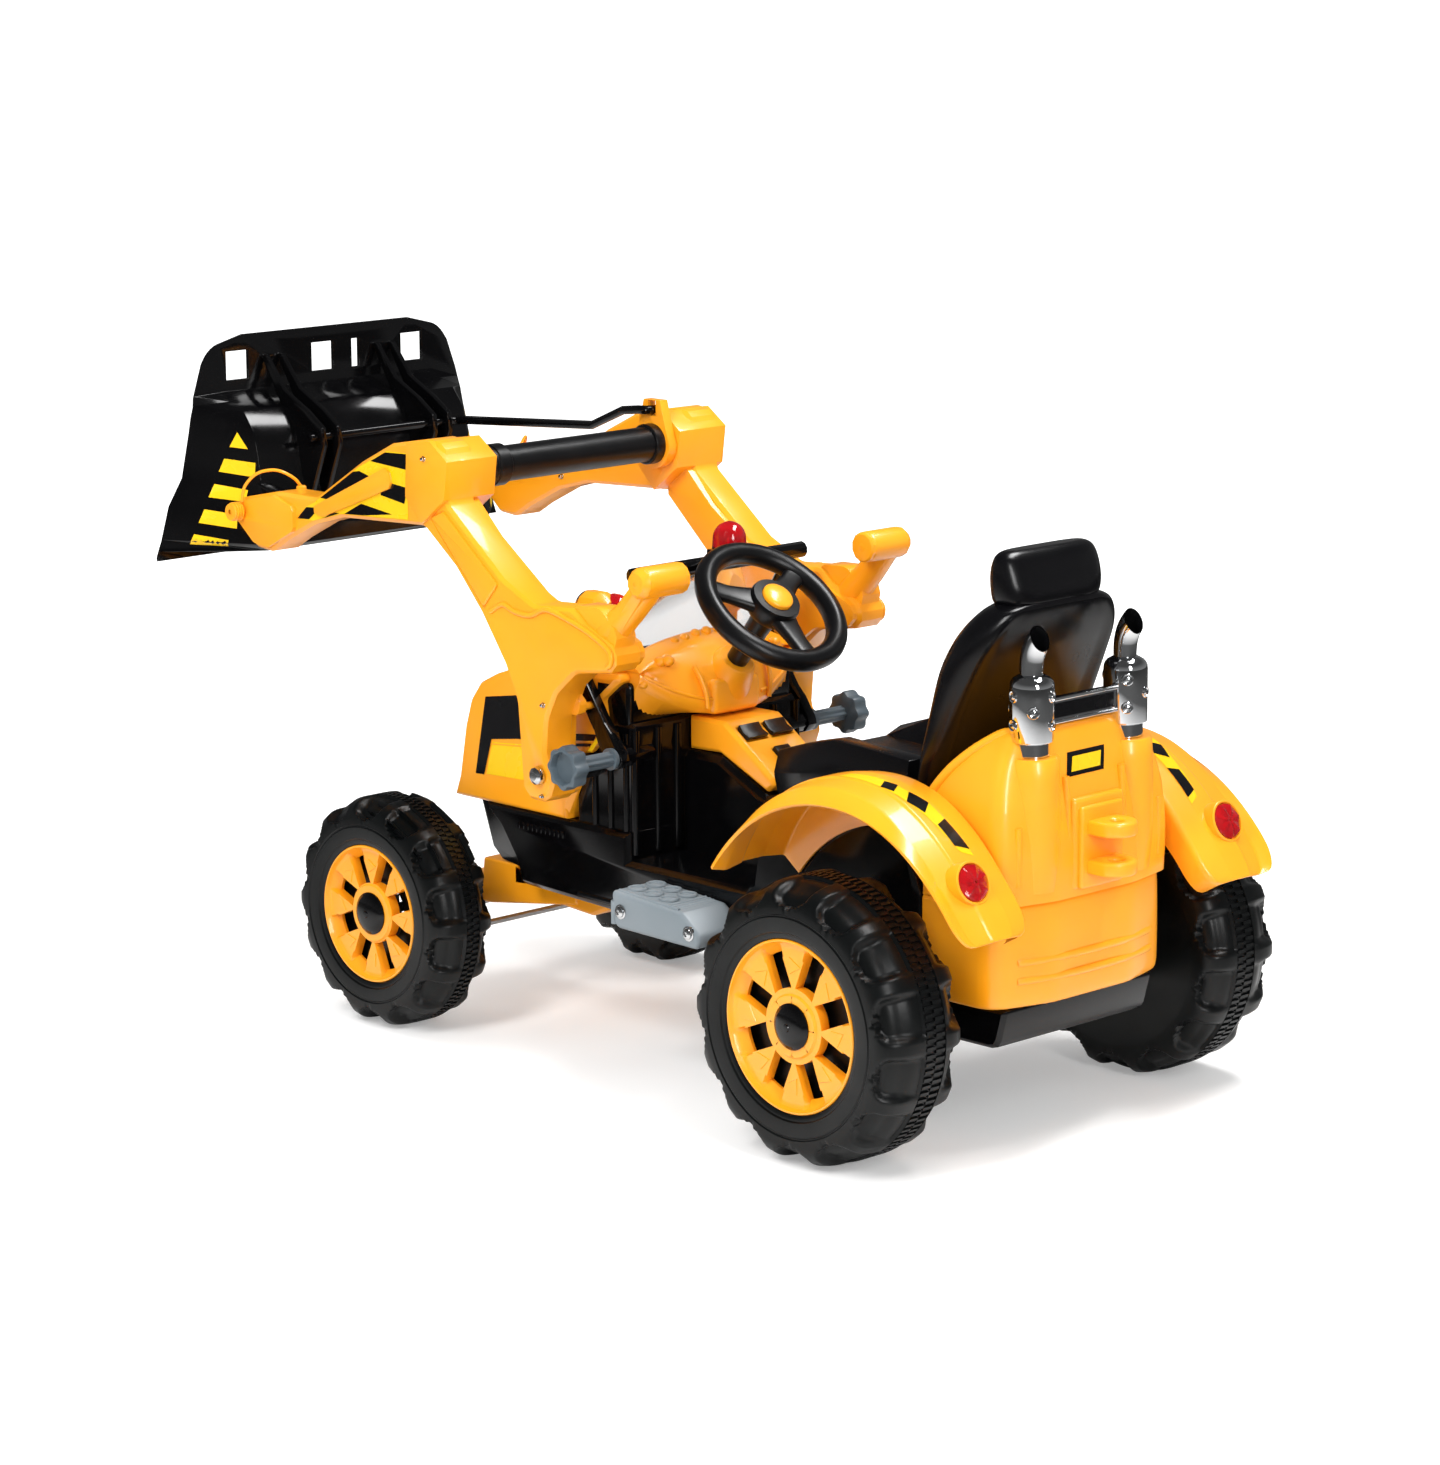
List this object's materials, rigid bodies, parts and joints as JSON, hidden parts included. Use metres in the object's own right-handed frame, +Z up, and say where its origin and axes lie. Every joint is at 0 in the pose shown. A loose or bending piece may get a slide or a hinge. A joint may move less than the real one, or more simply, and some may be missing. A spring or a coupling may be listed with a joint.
{
  "type": "ride-on loader",
  "caption": "Battery ride-on toy tractor with a front loader: lifting booms, tilting bucket, steered front wheels, cab controls, pedal and tow hitch.",
  "frame": {"origin": "on the ground under the middle of the whole vehicle, with the loader raised as in the picture", "axes": "+X to the left of the driver, +Y backwards from the bucket to the tow hitch, +Z up"},
  "size_m": [0.622, 1.3151, 0.771],
  "materials": {
    "tyre": "satin moulded plastic",
    "yellow_shell": "semi-gloss blow-moulded plastic",
    "black_shell": "semi-gloss moulded plastic",
    "black_trim": "satin moulded plastic",
    "seat_moulding": "semi-gloss moulded plastic",
    "grey_moulding": "satin moulded plastic",
    "knob_moulding": "satin moulded plastic",
    "plated_plastic": "chrome-plated plastic",
    "bolt_steel": "chrome-plated steel",
    "axle_steel": "zinc-plated steel",
    "lens_red": "clear red moulded plastic",
    "clear_pane": "clear moulded sheet"
  },
  "bodies": {
    "chassis": {"battery": "black_trim", "beacon": "lens_red", "chassis_shell": "black_shell", "console": "black_shell", "dash_panel": "yellow_shell", "exhaust_stacks": "plated_plastic", "fender_left": "yellow_shell", "fender_right": "yellow_shell", "footstep_left": "grey_moulding", "footstep_right": "grey_moulding", "front_axle_beam": "axle_steel", "front_skid": "yellow_shell", "gearmotor": "black_trim", "hood": "yellow_shell", "pivot_bolt_left": "bolt_steel", "pivot_bolt_right": "bolt_steel", "rear_axle": "axle_steel", "rear_bumper": "yellow_shell", "rear_cowl": "yellow_shell", "rear_under_panel": "black_shell", "seat_back": "seat_moulding", "seat_pan": "seat_moulding", "tail_light_left": "lens_red", "tail_light_right": "lens_red", "tow_hitch": "yellow_shell", "windscreen_frame": "black_shell", "windscreen_pane": "clear_pane"},
    "loader": {"boom_left": "yellow_shell", "boom_right": "yellow_shell", "cross_tube": "black_shell", "boom_pin_left": "yellow_shell", "boom_pin_right": "yellow_shell"},
    "bucket": {"bucket": "black_shell"},
    "tilt_rod": {"tilt_rod": "black_shell"},
    "rocker": {"rocker_disc": "yellow_shell"},
    "stay_left": {"stay_left": "black_shell"},
    "stay_right": {"stay_right": "black_shell"},
    "knob_left": {"knob_left": "knob_moulding"},
    "knob_right": {"knob_right": "knob_moulding"},
    "steering": {"steering_wheel": "black_shell"},
    "horn": {"horn_button": "yellow_shell"},
    "knuckle_left": {"knuckle_left": "axle_steel"},
    "knuckle_right": {"knuckle_right": "axle_steel"},
    "tie_rod": {"tie_rod": "axle_steel"},
    "wheel_rear_left": {"tyre_rear_left": "tyre", "rim_rear_left": "yellow_shell", "hub_cap_rear_left": "black_shell"},
    "wheel_rear_right": {"tyre_rear_right": "tyre", "rim_rear_right": "yellow_shell", "hub_cap_rear_right": "black_shell"},
    "wheel_front_left": {"tyre_front_left": "tyre", "rim_front_left": "yellow_shell", "hub_cap_front_left": "black_shell"},
    "wheel_front_right": {"tyre_front_right": "tyre", "rim_front_right": "yellow_shell", "hub_cap_front_right": "black_shell"},
    "switch_speed": {"switch_speed": "black_trim"},
    "switch_direction": {"switch_direction": "black_trim"},
    "power_button": {"power_button": "black_trim"},
    "accelerator_pedal": {"accelerator_pedal": "grey_moulding"}
  },
  "joints": [
    {"name": "boom_lift", "type": "hinge", "parent": "chassis", "child": "loader", "pos_m": [0, -0.0315, 0.331], "axis": [1, 0, 0], "range_deg": [0, 46]},
    {"name": "bucket_tilt", "type": "hinge", "parent": "loader", "child": "bucket", "pos_m": [0, -0.5525, 0.576], "axis": [1, 0, 0], "range_deg": [-20, 20]},
    {"name": "tilt_rod_pivot", "type": "hinge", "parent": "bucket", "child": "tilt_rod", "pos_m": [0, -0.5535, 0.652], "axis": [1, 0, 0], "range_deg": [-20, 20]},
    {"name": "rocker_pivot", "type": "hinge", "parent": "loader", "child": "rocker", "pos_m": [0, -0.2091, 0.6537], "axis": [1, 0, 0], "range_deg": [-37, 37]},
    {"name": "stay_left_pivot", "type": "hinge", "parent": "chassis", "child": "stay_left", "pos_m": [0.1415, 0.0262, 0.3496], "axis": [1, 0, 0], "range_deg": [0, 30]},
    {"name": "stay_right_pivot", "type": "hinge", "parent": "chassis", "child": "stay_right", "pos_m": [-0.1415, 0.0262, 0.3496], "axis": [1, 0, 0], "range_deg": [0, 30]},
    {"name": "knob_left_turn", "type": "hinge", "parent": "chassis", "child": "knob_left", "pos_m": [0.2228, 0.0262, 0.3496], "axis": [1, 0, 0], "continuous": true},
    {"name": "knob_right_turn", "type": "hinge", "parent": "chassis", "child": "knob_right", "pos_m": [-0.2228, 0.0262, 0.3496], "axis": [1, 0, 0], "continuous": true},
    {"name": "steering_column", "type": "hinge", "parent": "chassis", "child": "steering", "pos_m": [0, 0.12239, 0.51368], "axis": [0, 0.6401, 0.7683], "range_deg": [-45, 45]},
    {"name": "horn_press", "type": "slide", "parent": "steering", "child": "horn", "axis": [0, -0.6401, -0.7683], "range_m": [0, 0.003], "stiffness_N_per_m": 300, "springref_m": -0.001},
    {"name": "knuckle_left_turn", "type": "hinge", "parent": "chassis", "child": "knuckle_left", "pos_m": [0.152, -0.2875, 0.13508], "axis": [0, 0, 1], "range_deg": [-25, 25]},
    {"name": "knuckle_right_turn", "type": "hinge", "parent": "chassis", "child": "knuckle_right", "pos_m": [-0.152, -0.2875, 0.13508], "axis": [0, 0, 1], "range_deg": [-25, 25]},
    {"name": "tie_rod_shift", "type": "slide", "parent": "chassis", "child": "tie_rod", "axis": [1, 0, 0], "range_m": [-0.0215, 0.0215]},
    {"name": "rear_left_roll", "type": "hinge", "parent": "chassis", "child": "wheel_rear_left", "pos_m": [0.253, 0.4575, 0.15182], "axis": [1, 0, 0], "continuous": true},
    {"name": "rear_right_roll", "type": "hinge", "parent": "chassis", "child": "wheel_rear_right", "pos_m": [-0.253, 0.4575, 0.15182], "axis": [1, 0, 0], "continuous": true},
    {"name": "front_left_roll", "type": "hinge", "parent": "knuckle_left", "child": "wheel_front_left", "pos_m": [0.2155, -0.2875, 0.13508], "axis": [1, 0, 0], "continuous": true},
    {"name": "front_right_roll", "type": "hinge", "parent": "knuckle_right", "child": "wheel_front_right", "pos_m": [-0.2155, -0.2875, 0.13508], "axis": [1, 0, 0], "continuous": true},
    {"name": "speed_rocker", "type": "hinge", "parent": "chassis", "child": "switch_speed", "pos_m": [-0.0195, 0.11106, 0.3721], "axis": [1, 0, 0], "range_deg": [-8, 8]},
    {"name": "direction_rocker", "type": "hinge", "parent": "chassis", "child": "switch_direction", "pos_m": [0.0195, 0.11106, 0.3721], "axis": [1, 0, 0], "range_deg": [-8, 8]},
    {"name": "power_press", "type": "slide", "parent": "chassis", "child": "power_button", "axis": [0, -0.5792, -0.8152], "range_m": [0, 0.003], "stiffness_N_per_m": 300, "springref_m": -0.001},
    {"name": "pedal_press", "type": "hinge", "parent": "chassis", "child": "accelerator_pedal", "pos_m": [-0.0925, 0.1365, 0.238], "axis": [1, 0, 0], "range_deg": [0, 14], "stiffness_Nm_per_rad": 0.6, "springref_deg": -5.73}
  ],
  "couplings": [
    {"joint": "tilt_rod_pivot", "follows": "bucket_tilt", "ratio": -1},
    {"joint": "rocker_pivot", "follows": "bucket_tilt", "ratio": 1.815},
    {"joint": "stay_left_pivot", "follows": "boom_lift", "ratio": 0.65},
    {"joint": "stay_right_pivot", "follows": "boom_lift", "ratio": 0.65},
    {"joint": "knuckle_left_turn", "follows": "steering_column", "ratio": 0.5556},
    {"joint": "knuckle_right_turn", "follows": "steering_column", "ratio": 0.5556},
    {"joint": "tie_rod_shift", "follows": "steering_column", "m_per_rad": -0.0269}
  ]
}
